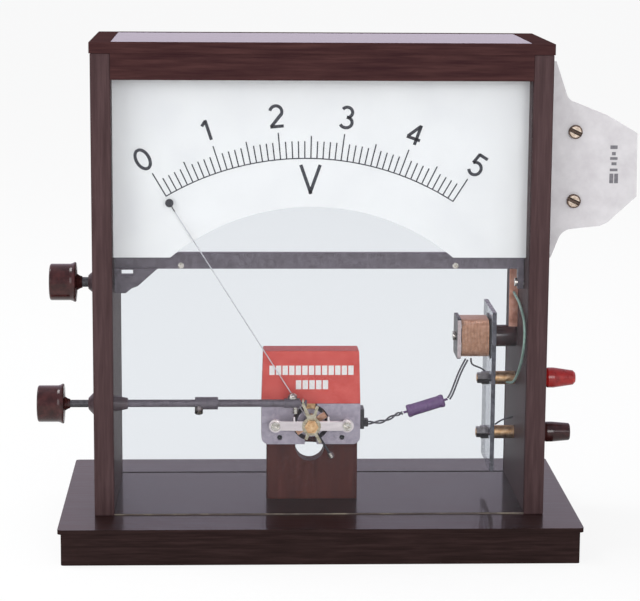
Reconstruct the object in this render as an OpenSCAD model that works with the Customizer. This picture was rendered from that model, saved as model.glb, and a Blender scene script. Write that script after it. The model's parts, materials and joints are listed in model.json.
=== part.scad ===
// Demonstration meter: a glazed wooden case that shows a large moving coil movement at work.
// Millimetres, +Z up, X to the right and Y to the back as the front pane is seen.
// The origin lies under the middle of the base.

/* [Base] */
// Overhang of the base past each side wall
base_side = 22.5; // [10:0.5:40]
// Overhang of the base past the front and back edges of the walls
base_front = 34; // [20:0.5:50]
// Height of the base
base_h = 24.5; // [18:0.5:32]
// Height of the lip round the top of the base
lip_h = 3; // [2:0.5:6]
// Overhang of the lip past the plinth
lip_out = 2; // [0.5:0.5:5]

/* [Case] */
// Width over the side walls
case_w = 300; // [292:1:316]
// Depth of the side walls, front to back
case_d = 118; // [114:1:130]
// Height of the case above the base, with its top frame
case_h = 314; // [306:1:330]
// Thickness of a side wall
wall_t = 13; // [10:0.5:15]
// Thickness of the top frame
lid_t = 7; // [6:0.5:10]
// Overhang of the top frame past the walls
lid_out = 0.7; // [0:0.1:2]
// Height of the front rail under the top frame
rail_h = 17; // [12:0.5:19]
// Thickness of the front rail
rail_t = 13; // [10:0.5:14]
// Width of the top frame's members
lid_rim = 15; // [14:0.5:18]

/* [Panes] */
// Thickness of the front, rear and top panes
pane_t = 3; // [2:0.5:4]
// Distance of a pane's outer face behind the edge of the walls
pane_set = 2; // [1.5:0.5:4]
// Depth of the pane grooves in the walls, the base and the rail
groove_in = 2.5; // [1.5:0.5:4]
// Clearance on each face of a pane in its groove
pane_fit = 0.15; // [0.05:0.05:0.3]

/* [Dial] */
// Distance of the dial's front face behind the front of the case
dial_set = 21; // [20.5:0.5:22.5]
// Thickness of the dial plate
dial_t = 3; // [2:0.5:4]
// Height of the dial's lower edge above the base
dial_low = 171; // [166:0.5:176]
// Distance of the dial's upper edge under the top of the case
dial_drop = 12.5; // [11:0.5:16]
// Depth of the dial's blind groove in the left wall
dial_in = 5; // [3:0.5:7]
// Clearance on each face of the dial in its slots
dial_fit = 0.25; // [0.15:0.05:0.4]
// Reach of the pointer, a little less than the radius of the scale's base line
scale_r = 180; // [176:0.5:184]
// Half of the angle through which the pointer swings
scale_half = 32.2; // [28:0.1:33]
// Number of whole units on the scale
scale_units = 5; // [1:1:8]
// Turn of the dial's print to the right, which stands a little askew on this plate
print_turn = 0.95; // [-1.5:0.05:1.5]
// How far the print's centre stands left of the pivot
print_left = 4.2; // [-5:0.1:5]
// How far the print's centre stands below the pivot
print_low = 2.1; // [-3:0.1:3]
// Radius of the cut-out in the dial's lower edge
cut_r = 147; // [140:0.5:152]
// Length of the tab that is gripped outside the right wall
tab_len = 60; // [50:1:75]
// Spacing of the two screws on the tab
tab_screw_gap = 46; // [36:1:50]

/* [Movement] */
// Sideways place of the pointer's pivot
pivot_x = -5.5; // [-10:0.5:2]
// Height of the pointer's pivot above the base
pivot_h = 58; // [54:0.5:66]
// Distance of the pole pieces' front behind the front of the case
pole_set = 23; // [22.5:0.5:25]
// Depth of the pole pieces and the magnet
pole_d = 18; // [18:0.5:22]
// Half of the width of the pole pieces
pole_half = 33.3; // [30:0.1:36]
// Half of the height of the pole pieces
pole_rise = 14; // [13.5:0.1:16]
// Width of the gap between the pole tips
pole_gap = 8; // [7:0.5:9]
// Radius of the bore in the pole pieces
bore_r = 12.5; // [12.5:0.1:12.9]
// Radius of the iron core
core_r = 9.5; // [9:0.1:9.7]
// Height of the magnet
magnet_h = 36.2; // [30:0.1:44]
// Half of the magnet's width along its top
magnet_half = 32.2; // [28:0.1:34]
// Width of the wooden pillar
pillar_w = 62; // [58:1:66]
// Thickness of the wooden pillar
pillar_t = 13; // [12:0.5:16]
// Height of the wooden pillar above the base
pillar_h = 94; // [90:1:98]
// Radius of the half round opening in the pillar
slot_r = 9.9; // [9.5:0.1:11]

/* [Pointer] */
// Radius of the pointer's tube
needle_r = 0.35; // [0.25:0.05:0.5]
// Radius of the disc at the pointer's tip
tip_r = 2.75; // [2:0.25:3.5]
// Distance of the counterweight's middle from the pivot
weight_at = 25; // [22:0.5:27]
// Length of the counterweight
weight_l = 3.5; // [3:0.5:8]
// Radius of the counterweight
weight_r = 1.8; // [1.5:0.1:3]

/* [Zero setting] */
// Height of the zero rod above the pivot
rod_rise = 15.7; // [15:0.1:17]
// Radius of the zero rod
rod_r = 2.5; // [2.3:0.1:2.6]
// Radius of both knobs
knob_r = 12.2; // [10:0.1:14]
// Length of both knobs
knob_l = 17.2; // [14:0.2:20]
// Distance of the zero knob from the wall
zero_knob_gap = 20.4; // [14:0.2:26]
// Distance of the clamp knob from the wall
clamp_knob_gap = 12.3; // [10:0.1:18]
// Length of the coupling on the zero rod
coupling_l = 15.3; // [12:0.1:20]

/* [Clamp bar] */
// Height of the clamp bar
bar_h = 10.6; // [9:0.1:12]
// Thickness of the clamp bar
bar_t = 6; // [5:0.5:7]
// Depth of the clamp bar's axis under the dial's lower edge
clamp_drop = 17.5; // [16:0.5:20]

/* [Terminals] */
// Height of the lower terminal above the base
term_low = 41.5; // [38:0.5:50]
// Spacing of the two terminals
term_gap = 38.5; // [36:0.5:42]
// Distance of the terminals behind the middle of the case
term_y = 5; // [0:0.5:10]
// Radius of the socket for a plug in each terminal
socket_r = 2; // [1.9:0.05:2.1]
// Length of the red terminal's cap
red_cap_l = 24; // [22:0.5:28]
// Length of the black terminal's cap
black_cap_l = 21; // [20.5:0.5:26]

/* [Multiplier board] */
// Distance of the board from the right wall
board_gap = 15; // [12:0.5:18]
// Thickness of the board
board_t = 3; // [2:0.5:4]
// Depth of the board, front to back
board_d = 53; // [50:1:74]
// Distance of the board's back edge behind the terminals
board_back = 38; // [34:0.5:42]
// Height of the board
board_h = 111.5; // [102:0.5:116]
// Length of the resistance bobbin
bobbin_l = 23.5; // [18:0.5:26]
// Width of the resistance bobbin's cheeks
bobbin_w = 28; // [26:0.5:32]

/* [Hidden] */
$fn = 48;
// Running clearance of a shaft in its hole
run = 0.05;
// Clearance between pieces that only face each other
face_gap = 0.3;

base_w = case_w + 2 * base_side;
base_d = case_d + 2 * base_front;
base_top = base_h;
case_top = base_top + case_h;
wall_top = case_top - lid_t;
in_x = case_w / 2 - wall_t;
out_x = case_w / 2;
front_y = -case_d / 2;
back_y = case_d / 2;
rail_low = wall_top - rail_h;

pane_y0 = front_y + pane_set;
pane_y1 = pane_y0 + pane_t;
rear_y1 = back_y - pane_set;
rear_y0 = rear_y1 - pane_t;

dial_y0 = front_y + dial_set;
dial_y1 = dial_y0 + dial_t;
dial_z0 = base_top + dial_low;
dial_z1 = case_top - dial_drop;
dial_x0 = -in_x - dial_in + face_gap;
mark_t = 0.2;
print_r = scale_r + 1.3;
print_half = scale_half - 0.65;
tab_screw_x = out_x + 18;

// Top panel, let into the top frame from above
panel_z1 = case_top - 0.2;
panel_z0 = panel_z1 - pane_t;
panel_x = out_x - lid_rim + 2;
panel_y0 = front_y + lid_rim - 7;
panel_y1 = back_y - 3;

pivot_z = base_top + pivot_h;
pole_y0 = front_y + pole_set;
pole_y1 = pole_y0 + pole_d;
pole_low = 0.9;
pole_z0 = pivot_z - pole_rise - pole_low;
pole_z1 = pivot_z + pole_rise - pole_low;
pole_screw_x = 21;
pole_screw_z = pivot_z - 10.2;
pole_bore = 1.75;
magnet_z1 = pole_z1 + magnet_h;
pillar_y0 = pole_y1;
pillar_y1 = pillar_y0 + pillar_t;
pillar_mid = pivot_x + 1.5;
pillar_z1 = base_top + pillar_h;
slot_z0 = pivot_z - 21.1;
slot_flat = 3.4;
staff_hole_r = 9.2;

// Bridge, zero arm and jewel screws along the pivot's axis
bridge_y1 = pole_y0 - 8;
bridge_y0 = bridge_y1 - 2;
arm_y1 = bridge_y0 - 0.2;
arm_y0 = arm_y1 - 0.9;
head_y1 = arm_y0 - 0.15;
head_y0 = head_y1 - 2.3;
jewel_r = 2.5;
bridge_rise = 3.2;
bridge_lobe = 4.4;
bridge_screw = 24;
rear_bridge_y1 = pillar_y1 + 2;
rear_screw = 15.5;
screw_r = 1.5;

// Moving coil
coil_in = core_r + 0.7;
former_t = 0.5;
winding_t = 0.9;
coil_y0 = pole_y0 - 1.4;
coil_y1 = pole_y1 - 2.5;
coil_out_y0 = coil_y0 - former_t - winding_t;
coil_out_y1 = coil_y1 + former_t + winding_t;
staff_r = 1.25;
collet_r = 1.9;
front_tip = bridge_y1 - 0.1;
rear_tip = pillar_y1 - 2.6;
spring_y0 = bridge_y1 + 0.3;
spring_y1 = spring_y0 + 0.7;
boss_y0 = spring_y1 + 0.3;
boss_y1 = coil_out_y0 - 0.7;
boss_r = 3.2;
needle_y = boss_y0 + 1.7;
needle_end = scale_r - tip_r - 3;
rear_spring_y0 = pillar_y1 - 7;
rear_spring_y1 = rear_spring_y0 + 0.7;

// Zero rod
rod_y = needle_y - needle_r - 0.65 - 3.2;
rod_z = pivot_z + rod_rise;
lug_x = pivot_x - 5.7;
lug_bore = 1.75;
neck_r = 0.9;
rod_end_x1 = lug_x - 2.2;
rod_end_x0 = rod_end_x1 - 10.4;
rod_dome_x = rod_end_x1 - 4.8;
rod_pin_x = rod_end_x1 - 2.8;
rod_pin_r = 1.6;
zero_knob_x = -out_x - zero_knob_gap;
coupling_mid = -in_x + 61.4;
coupling_lean = 45;
bush_l = 4;
bush_r = 8;
tube_r = 5.5;

// Clamp bar
bar_y0 = dial_y1 + face_gap;
bar_y1 = bar_y0 + bar_t;
bar_z1 = dial_z0 + 2.5;
bar_z0 = bar_z1 - bar_h;
clamp_y = (bar_y0 + bar_y1) / 2;
clamp_z = dial_z0 - clamp_drop;
clamp_low = clamp_z - 6.8;
clamp_knob_x = -out_x - clamp_knob_gap;
spindle_r = 3.3;
gusset_t = 10;
bar_x = in_x - 0.5;
lug_t = 4;
pin_r = 2;
lug_low = clamp_z - pin_r - 2.2;
bar_screw_x = [-87, 96];

// Terminals and board
term_z0 = base_top + term_low;
term_z1 = term_z0 + term_gap;
shank_r = 2.5;
barrel_r = 3.5;
collar_x = out_x + 4;
washer_x = collar_x + 1;
barrel_end = washer_x + 17;
socket_d = 16;
board_x1 = in_x - board_gap;
board_x0 = board_x1 - board_t;
board_y0 = term_y + board_back - board_d;
board_z0 = term_z0 - 24.5;
bobbin_z = term_z1 + bobbin_w / 2 + 15.7;
bobbin_x0 = board_x0 - bobbin_l;
cheek_t = 2.4;
back_cheek_t = 0.9;
spacer_r = 4.6;
board_spacer_r = 7.5;
nut_t = 5;
lock_t = 3;
bobbin_screw_r = 1.5;

// Resistor and wiring
tag_x = pivot_x + pole_half;
res_y = pole_y1 - 2;
res_a = [pivot_x + 66.1, res_y, pivot_z + 3.9];
res_b = [pivot_x + 91.3, res_y, pivot_z + 11.8];
res_len = norm(res_b - res_a);
res_turn = atan2(res_b[0] - res_a[0], res_b[2] - res_a[2]);
res_dir = (res_b - res_a) / res_len;
wire_r = 0.6;
green_r = 0.9;
green_rise = 32;
strip_w = 6;
strip_low = bobbin_z + board_spacer_r + 0.5;
strip_rise = 49.5;
strip_t = 1;
strip_y0 = term_y - board_spacer_r - 0.5 - strip_t;
res_stub = 2.5;

// Box between two corners
module block(x0, x1, y0, y1, z0, z1) {
    translate([x0, y0, z0])
        cube([x1 - x0, y1 - y0, z1 - z0]);
}

// Round bar along X
module bar_x_round(x0, x1, r, y, z) {
    translate([x0, y, z])
        rotate([0, 90, 0])
            cylinder(h = x1 - x0, r = r);
}

// Round bar along Y
module bar_y_round(y0, y1, r, x, z) {
    translate([x, y0, z])
        rotate([-90, 0, 0])
            cylinder(h = y1 - y0, r = r);
}

// Plate of an outline in X and Z, from y0 back to y1
module plate_y(y0, y1) {
    translate([0, y1, 0])
        rotate([90, 0, 0])
            linear_extrude(height = y1 - y0)
                children();
}

// Plate of an outline in Y and Z, from x0 to x1
module plate_x(x0, x1) {
    translate([x0, 0, 0])
        rotate([90, 0, 90])
            linear_extrude(height = x1 - x0)
                children();
}

// Rectangle with round corners about its middle
module round_rect(w, h, r) {
    square([w - 2 * r, h], center = true);
    square([w, h - 2 * r], center = true);
    for (sx = [-1, 1], sz = [-1, 1])
        translate([sx * (w / 2 - r), sz * (h / 2 - r)])
            circle(r = r);
}

// The moving coil's pieces, drawn upright, turned to the rest at zero
module at_rest() {
    translate([pivot_x, 0, pivot_z])
        rotate([0, -scale_half, 0])
            children();
}

// Slotted screw with a flat head along Y, the head at y and the shank towards +Y
module slot_screw_y(x, y, z, head_r, head_h, r, l) {
    difference() {
        union() {
            bar_y_round(y - head_h, y, head_r, x, z);
            bar_y_round(y - 0.01, y + l, r, x, z);
        }
        translate([x, y - head_h, z])
            rotate([0, 25, 0])
                cube([3 * head_r, 1.2, 0.8], center = true);
    }
}

module base() {
    color([0.27, 0.16, 0.14])
        difference() {
            union() {
                linear_extrude(height = base_h - lip_h)
                    round_rect(base_w - 2 * lip_out, base_d - 2 * lip_out, 2);
                translate([0, 0, base_h - lip_h])
                    linear_extrude(height = lip_h)
                        round_rect(base_w, base_d, 3);
            }
            block(-in_x, in_x, pane_y0 - pane_fit, pane_y1 + pane_fit, base_top - groove_in, base_top + 1);
            block(-in_x, in_x, rear_y0 - pane_fit, rear_y1 + pane_fit, base_top - groove_in, base_top + 1);
        }
}

// Side board with its pane grooves; s is -1 on the left and 1 on the right
module wall_board(s) {
    difference() {
        block(min(s * in_x, s * out_x), max(s * in_x, s * out_x), front_y, back_y, base_top, wall_top);
        for (y = [pane_y0, rear_y0])
            translate([s * in_x, y + pane_t / 2, base_top + case_h / 2])
                cube([2 * groove_in, pane_t + 2 * pane_fit, case_h + 2], center = true);
    }
}

module left_wall() {
    color([0.27, 0.16, 0.14])
        difference() {
            wall_board(-1);
            block(-in_x - dial_in, -in_x + 1, dial_y0 - dial_fit, dial_y1 + dial_fit,
                dial_z0 - dial_fit, dial_z1 + dial_fit);
            bar_x_round(-out_x - 1, -in_x + 1, tube_r + run, clamp_y, clamp_z);
            bar_x_round(-out_x - 1, -in_x + 1, tube_r + run, rod_y, rod_z);
        }
}

module right_wall() {
    color([0.27, 0.16, 0.14])
        difference() {
            wall_board(1);
            block(in_x - 1, out_x + 1, dial_y0 - dial_fit, dial_y1 + dial_fit,
                dial_z0 - dial_fit, dial_z1 + dial_fit);
            for (z = [term_z0, term_z1])
                bar_x_round(in_x - 1, out_x + 1, shank_r + run, term_y, z);
            bar_x_round(in_x - 1, in_x + 9, bobbin_screw_r + run, term_y, bobbin_z);
            bar_x_round(in_x - 1, in_x + 7, pin_r + run, clamp_y, clamp_z);
        }
}

module top_frame() {
    color([0.27, 0.16, 0.14])
        difference() {
            union() {
                translate([0, 0, wall_top])
                    linear_extrude(height = lid_t)
                        round_rect(case_w + 2 * lid_out, case_d + 2 * lid_out, 1);
                block(-in_x, in_x, front_y, front_y + rail_t, rail_low, wall_top + 1);
            }
            // Window, and the rebate that takes the top panel from above
            block(-out_x + lid_rim, out_x - lid_rim, front_y + lid_rim, back_y - lid_rim,
                wall_top - 1, case_top + 1);
            block(-panel_x - pane_fit, panel_x + pane_fit, panel_y0 - pane_fit, panel_y1 + pane_fit,
                panel_z0, case_top + 1);
            block(-in_x - 1, in_x + 1, pane_y0 - pane_fit, pane_y1 + pane_fit, rail_low - 1, rail_low + groove_in);
        }
}

module top_panel() {
    color([0.82, 0.88, 0.92, 0.4])
        block(-panel_x, panel_x, panel_y0, panel_y1, panel_z0, panel_z1);
}

module front_pane() {
    color([0.82, 0.88, 0.92, 0.3])
        union() {
            block(-in_x - groove_in + pane_fit, in_x + groove_in - pane_fit, pane_y0, pane_y1,
                base_top, rail_low + groove_in - pane_fit);
            block(-in_x + pane_fit, in_x - pane_fit, pane_y0, pane_y1, base_top - groove_in, base_top + 1);
        }
}

module rear_pane() {
    color([0.82, 0.88, 0.92, 0.3])
        union() {
            block(-in_x - groove_in + pane_fit, in_x + groove_in - pane_fit, rear_y0, rear_y1,
                base_top, wall_top - pane_fit);
            block(-in_x + pane_fit, in_x - pane_fit, rear_y0, rear_y1, base_top - groove_in, base_top + 1);
        }
}

// Pin in the right wall on which the clamp bar swings
module bar_pivot_pin() {
    color([0.8, 0.8, 0.82])
        union() {
            bar_x_round(bar_x - lug_t - 0.6, in_x + 6, pin_r, clamp_y, clamp_z);
            bar_x_round(bar_x - lug_t - 1.6, bar_x - lug_t - 0.3, pin_r + 0.8, clamp_y, clamp_z);
        }
}

// Flanged bush with a coned face, its flange against the left wall's outer face
module wall_bush(y, z, shaft, inner) {
    difference() {
        union() {
            translate([-out_x, y, z])
                rotate([0, -90, 0])
                    cylinder(h = bush_l, r1 = bush_r, r2 = shaft + 1.3);
            bar_x_round(-out_x - 0.01, -in_x, tube_r, y, z);
            if (inner > 0)
                translate([-in_x - 0.01, y, z])
                    rotate([0, 90, 0])
                        cylinder(h = inner, r1 = tube_r, r2 = shaft + 1.2);
        }
        bar_x_round(-out_x - bush_l - 1, -in_x + inner + 1, shaft + run, y, z);
    }
}

module wall_bushes() {
    color([0.22, 0.15, 0.14]) {
        wall_bush(clamp_y, clamp_z, spindle_r, 0);
        wall_bush(rod_y, rod_z, rod_r, 9);
    }
}

module pillar() {
    color([0.36, 0.2, 0.16])
        difference() {
            block(pillar_mid - pillar_w / 2, pillar_mid + pillar_w / 2, pillar_y0, pillar_y1, base_top, pillar_z1);
            bar_y_round(pillar_y0 - 1, pillar_y1 + 1, staff_hole_r, pivot_x, pivot_z);
            plate_y(pillar_y0 - 1, pillar_y1 + 1)
                difference() {
                    translate([pivot_x, slot_z0])
                        circle(r = slot_r);
                    translate([pivot_x - slot_r - 1, slot_z0 + slot_flat])
                        square(2 * slot_r + 2);
                }
            for (s = [-1, 1]) {
                bar_y_round(pillar_y0 - 1, pillar_y0 + 8.5, screw_r + run,
                    pivot_x + s * pole_screw_x, pole_screw_z);
                bar_y_round(pillar_y1 - 7.5, pillar_y1 + 1, screw_r + run, pivot_x + s * rear_screw, pivot_z);
            }
        }
}

module magnet() {
    color([0.72, 0.16, 0.13])
        plate_y(pole_y0, pole_y1)
            polygon([[pivot_x - pole_half, pole_z1], [pivot_x + pole_half, pole_z1],
                [pivot_x + magnet_half, magnet_z1 - 0.8], [pivot_x + magnet_half - 0.6, magnet_z1],
                [pivot_x - magnet_half + 0.6, magnet_z1], [pivot_x - magnet_half, magnet_z1 - 0.8]]);
}

// Pole piece with its bore, fixing hole and bridge hole; s is -1 on the left and 1 on the right
module pole_piece(s) {
    corner = 5;
    difference() {
        translate([pivot_x, 0, 0])
            mirror([s < 0 ? 1 : 0, 0, 0])
                plate_y(pole_y0, pole_y1)
                    difference() {
                        union() {
                            translate([pole_gap / 2, pole_z0 + corner])
                                square([pole_half - pole_gap / 2, pole_z1 - pole_z0 - corner]);
                            translate([pole_gap / 2, pole_z0])
                                square([pole_half - pole_gap / 2 - corner, corner]);
                            translate([pole_half - corner, pole_z0 + corner])
                                circle(r = corner);
                        }
                        translate([0, pivot_z])
                            circle(r = bore_r);
                    }
        bar_y_round(pole_y0 - 1, pole_y1 + 1, screw_r + run, pivot_x + s * pole_screw_x, pole_screw_z);
        bar_y_round(pole_y0 - 1, pole_y0 + 2.6, pole_bore, pivot_x + s * pole_screw_x, pole_screw_z);
        bar_y_round(pole_y0 - 1, pole_y0 + 6.5, screw_r + run, pivot_x + s * bridge_screw, pivot_z);
    }
}

module left_pole() {
    color([0.5, 0.5, 0.52])
        pole_piece(-1);
}

module right_pole() {
    color([0.5, 0.5, 0.52])
        pole_piece(1);
}

module pole_screws() {
    color([0.1, 0.1, 0.1])
        for (s = [-1, 1])
            slot_screw_y(pivot_x + s * pole_screw_x, pole_y0 + 2.6, pole_screw_z,
                pole_bore - 0.1, 1.8, screw_r, pole_d + 5);
}

module iron_core() {
    color([0.45, 0.45, 0.47])
        bar_y_round(pole_y0 - 0.5, coil_y1 - 1.4, core_r, pivot_x, pivot_z);
}

// Brass saddle that hangs the core from the magnet, between the pole tips
module core_support() {
    color([0.75, 0.58, 0.28])
        difference() {
            block(pivot_x - pole_gap / 2 + 1, pivot_x + pole_gap / 2 - 1, pole_y0 + 1.5, coil_y1 - 3,
                pivot_z + core_r - 1.5, pole_z1);
            bar_y_round(pole_y0, pole_y1, core_r + run, pivot_x, pivot_z);
        }
}

module front_bridge() {
    color([0.78, 0.79, 0.8])
        difference() {
            union() {
                translate([pivot_x, 0, pivot_z])
                    plate_y(bridge_y0, bridge_y1) {
                        square([2 * bridge_screw, 2 * bridge_rise], center = true);
                        for (s = [-1, 1]) {
                            translate([s * bridge_screw, 0])
                                circle(r = bridge_lobe);
                            translate([s * 11.5 - 0.65, 0])
                                square([1.3, bridge_rise + 3]);
                        }
                    }
                for (s = [-1, 1])
                    bar_y_round(bridge_y1 - 0.01, pole_y0, 2.8, pivot_x + s * bridge_screw, pivot_z);
            }
            bar_y_round(bridge_y0 - 1, bridge_y1 + 1, jewel_r + run, pivot_x, pivot_z);
            for (s = [-1, 1])
                bar_y_round(bridge_y0 - 1, pole_y0 + 1, screw_r + run, pivot_x + s * bridge_screw, pivot_z);
        }
}

module bridge_screws() {
    color([0.8, 0.72, 0.5]) {
        for (s = [-1, 1])
            slot_screw_y(pivot_x + s * bridge_screw, bridge_y0, pivot_z, 3.1, 1.8, screw_r, 15.5);
        for (s = [-1, 1])
            translate([pivot_x + s * rear_screw, rear_bridge_y1, pivot_z])
                rotate([0, 0, 180])
                    slot_screw_y(0, 0, 0, 2.8, 1.8, screw_r, 9);
    }
}

// Hexagonal jewel screw along Y; the jewel is at tip and the head runs from y0 to y1
module jewel_screw(y0, y1, tip) {
    union() {
        translate([0, y0, 0])
            rotate([-90, 0, 0])
                linear_extrude(height = y1 - y0)
                    circle(r = 4.7, $fn = 6);
        bar_y_round(min(y0 + 0.5, tip), max(y1 - 0.5, tip), jewel_r, 0, 0);
        bar_y_round(y0 < tip ? y0 - 0.5 : y1 - 0.1, y0 < tip ? y0 + 0.1 : y1 + 0.5, 3.2, 0, 0);
    }
}

module jewel_screws() {
    color([0.8, 0.6, 0.25]) {
        translate([pivot_x, 0, pivot_z])
            jewel_screw(head_y0, head_y1, bridge_y1);
        translate([pivot_x, 0, pivot_z])
            jewel_screw(rear_bridge_y1 + 0.1, rear_bridge_y1 + 2.4, rear_tip + 0.1);
    }
}

module rear_bridge() {
    color([0.78, 0.79, 0.8])
        difference() {
            union() {
                translate([pivot_x, 0, pivot_z])
                    plate_y(pillar_y1, rear_bridge_y1)
                        round_rect(2 * rear_screw + 10, 18, 4);
                // Lug that holds the outer end of the rear hairspring
                block(pivot_x - 0.8, pivot_x + 0.8, rear_spring_y0, pillar_y1 + 0.5, pivot_z + 7.1, pivot_z + 8.4);
            }
            bar_y_round(pillar_y1 - 1, rear_bridge_y1 + 1, jewel_r + run, pivot_x, pivot_z);
            for (s = [-1, 1])
                bar_y_round(pillar_y1 - 1, rear_bridge_y1 + 1, screw_r + run, pivot_x + s * rear_screw, pivot_z);
        }
}

// Flat spiral of spring strip from r0 out to r1, its outer end straight above the pivot
module spiral(r0, r1, turns, strip) {
    steps = 20 * turns;
    polygon(concat(
        [for (i = [0:steps])
            let (a = 90 + 360 * turns * (i / steps - 1), r = r0 + (r1 - r0) * i / steps + strip / 2)
                [r * cos(a), r * sin(a)]],
        [for (i = [steps:-1:0])
            let (a = 90 + 360 * turns * (i / steps - 1), r = r0 + (r1 - r0) * i / steps - strip / 2)
                [r * cos(a), r * sin(a)]]));
}

module rear_hairspring() {
    color([0.75, 0.55, 0.3])
        translate([pivot_x, 0, pivot_z])
            plate_y(rear_spring_y0, rear_spring_y1)
                spiral(collet_r + 0.3, 6.8, 4, 0.25);
}

module front_hairspring() {
    color([0.75, 0.55, 0.3])
        translate([pivot_x, 0, pivot_z])
            plate_y(spring_y0, spring_y1)
                spiral(collet_r + 0.3, 6.4, 4, 0.25);
}

// Insulating strip with a solder tag on the right pole piece
module tag_strip() {
    color([0.13, 0.11, 0.11])
        union() {
            block(tag_x, tag_x + 2.8, pole_y0 + 2, pole_y1 - 2, pivot_z - 5, pivot_z + 8.5);
            block(tag_x + 1.5, tag_x + 6, pole_y0 + 9, pole_y1 - 3, pivot_z - 5, pivot_z);
        }
}

module multiplier_board() {
    color([0.8, 0.87, 0.92, 0.4])
        difference() {
            block(board_x0, board_x1, board_y0, board_y0 + board_d, board_z0, board_z0 + board_h);
            for (z = [term_z0, term_z1])
                bar_x_round(board_x0 - 1, board_x1 + 1, shank_r + run, term_y, z);
            bar_x_round(board_x0 - 1, board_x1 + 1, bobbin_screw_r + run, term_y, bobbin_z);
        }
}

module bobbin() {
    color([0.12, 0.1, 0.1])
        difference() {
            union() {
                for (cheek = [[bobbin_x0, cheek_t], [board_x0 - back_cheek_t, back_cheek_t]])
                    plate_x(cheek[0], cheek[0] + cheek[1])
                        translate([term_y, bobbin_z])
                            round_rect(bobbin_w, bobbin_w, 3);
                bar_x_round(bobbin_x0 + cheek_t / 2, board_x0 - back_cheek_t / 2, 5, term_y, bobbin_z);
            }
            bar_x_round(bobbin_x0 - 1, board_x0 + 1, bobbin_screw_r + run, term_y, bobbin_z);
        }
}

module bobbin_winding() {
    color([0.65, 0.42, 0.3])
        difference() {
            plate_x(bobbin_x0 + cheek_t + 0.05, board_x0 - back_cheek_t - 0.05)
                translate([term_y, bobbin_z])
                    round_rect(bobbin_w - 1.6, bobbin_w - 1.6, 6);
            bar_x_round(bobbin_x0, board_x0, 5 + run, term_y, bobbin_z);
        }
}

// Long screw that ties the bobbin, the board and the spacer to the wall
module bobbin_screw() {
    color([0.75, 0.72, 0.66])
        difference() {
            union() {
                bar_x_round(bobbin_x0 - 2, bobbin_x0, 3.2, term_y, bobbin_z);
                bar_x_round(bobbin_x0 - 0.01, in_x + 8, bobbin_screw_r, term_y, bobbin_z);
            }
            translate([bobbin_x0 - 2, term_y, bobbin_z])
                cube([1.6, 9, 0.8], center = true);
        }
}

module board_spacer() {
    color([0.2, 0.18, 0.19])
        difference() {
            bar_x_round(board_x1, in_x, board_spacer_r, term_y, bobbin_z);
            bar_x_round(board_x1 - 1, in_x + 1, bobbin_screw_r + run, term_y, bobbin_z);
        }
}

// Turned stud with a plug socket in its outer end
module terminal_stud(z) {
    difference() {
        union() {
            bar_x_round(board_x0 - nut_t - lock_t - 0.4, out_x + 0.01, shank_r, term_y, z);
            bar_x_round(out_x, barrel_end, barrel_r, term_y, z);
        }
        bar_x_round(barrel_end - socket_d, barrel_end + 1, socket_r, term_y, z);
    }
}

module terminal_studs() {
    color([0.8, 0.62, 0.3]) {
        terminal_stud(term_z0);
        terminal_stud(term_z1);
    }
}

module terminal_collars() {
    color([0.1, 0.09, 0.09])
        for (z = [term_z0, term_z1])
            difference() {
                bar_x_round(out_x, collar_x, 6.5, term_y, z);
                bar_x_round(out_x - 1, collar_x + 1, barrel_r + run, term_y, z);
            }
}

module terminal_spacers() {
    color([0.8, 0.62, 0.3])
        for (z = [term_z0, term_z1])
            difference() {
                bar_x_round(board_x1, in_x, spacer_r, term_y, z);
                bar_x_round(board_x1 - 1, in_x + 1, shank_r + run, term_y, z);
            }
}

module terminal_nuts() {
    color([0.8, 0.62, 0.3])
        for (z = [term_z0, term_z1])
            difference() {
                union() {
                    plate_x(board_x0 - nut_t, board_x0)
                        translate([term_y, z])
                            circle(r = 4.8, $fn = 6);
                    plate_x(board_x0 - nut_t - lock_t, board_x0 - nut_t + 0.01)
                        translate([term_y, z])
                            circle(r = 4, $fn = 6);
                }
                bar_x_round(board_x0 - nut_t - lock_t - 1, board_x0 + 1, shank_r + run, term_y, z);
            }
}

// Screw cap of a terminal: long profile from its root outwards
module terminal_cap(z, l, root_r, belly_r, end_r, round_end) {
    translate([washer_x, term_y, z])
        rotate([0, 90, 0])
            rotate_extrude()
                polygon([[barrel_r + run, 0], [root_r, 0], [root_r, 1.5], [belly_r, 5],
                    [belly_r, 9], [end_r, l - round_end], [end_r - round_end, l],
                    [socket_r + 0.35, l], [socket_r + 0.35, 17.5], [barrel_r + run, 17.5]]);
}

module red_cap() {
    color([0.72, 0.12, 0.1])
        terminal_cap(term_z1, red_cap_l, 5.6, 7, 5, 1.6);
}

module black_cap() {
    color([0.1, 0.09, 0.09])
        terminal_cap(term_z0, black_cap_l, 6.2, 7, 6, 0.6);
}

module terminal_washer(z) {
    difference() {
        bar_x_round(collar_x, washer_x, 5.4, term_y, z);
        bar_x_round(collar_x - 1, washer_x + 1, barrel_r + run, term_y, z);
    }
}

module red_washer() {
    color([0.8, 0.75, 0.62])
        terminal_washer(term_z1);
}

module black_washer() {
    color([0.8, 0.75, 0.62])
        terminal_washer(term_z0);
}

module swamp_resistor() {
    color([0.4, 0.25, 0.46])
        translate(res_a)
            rotate([0, res_turn, 0])
                union() {
                    rotate_extrude()
                        polygon([[0, 0], [3.4, 0], [4.4, 0.8], [4.4, 3], [4.1, 3.6],
                            [4.1, res_len - 3.6], [4.4, res_len - 3], [4.4, res_len - 0.8],
                            [3.4, res_len], [0, res_len]]);
                    translate([0, 0, -res_stub])
                        cylinder(h = res_len + 2 * res_stub, r = 0.8);
                }
}

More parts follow.
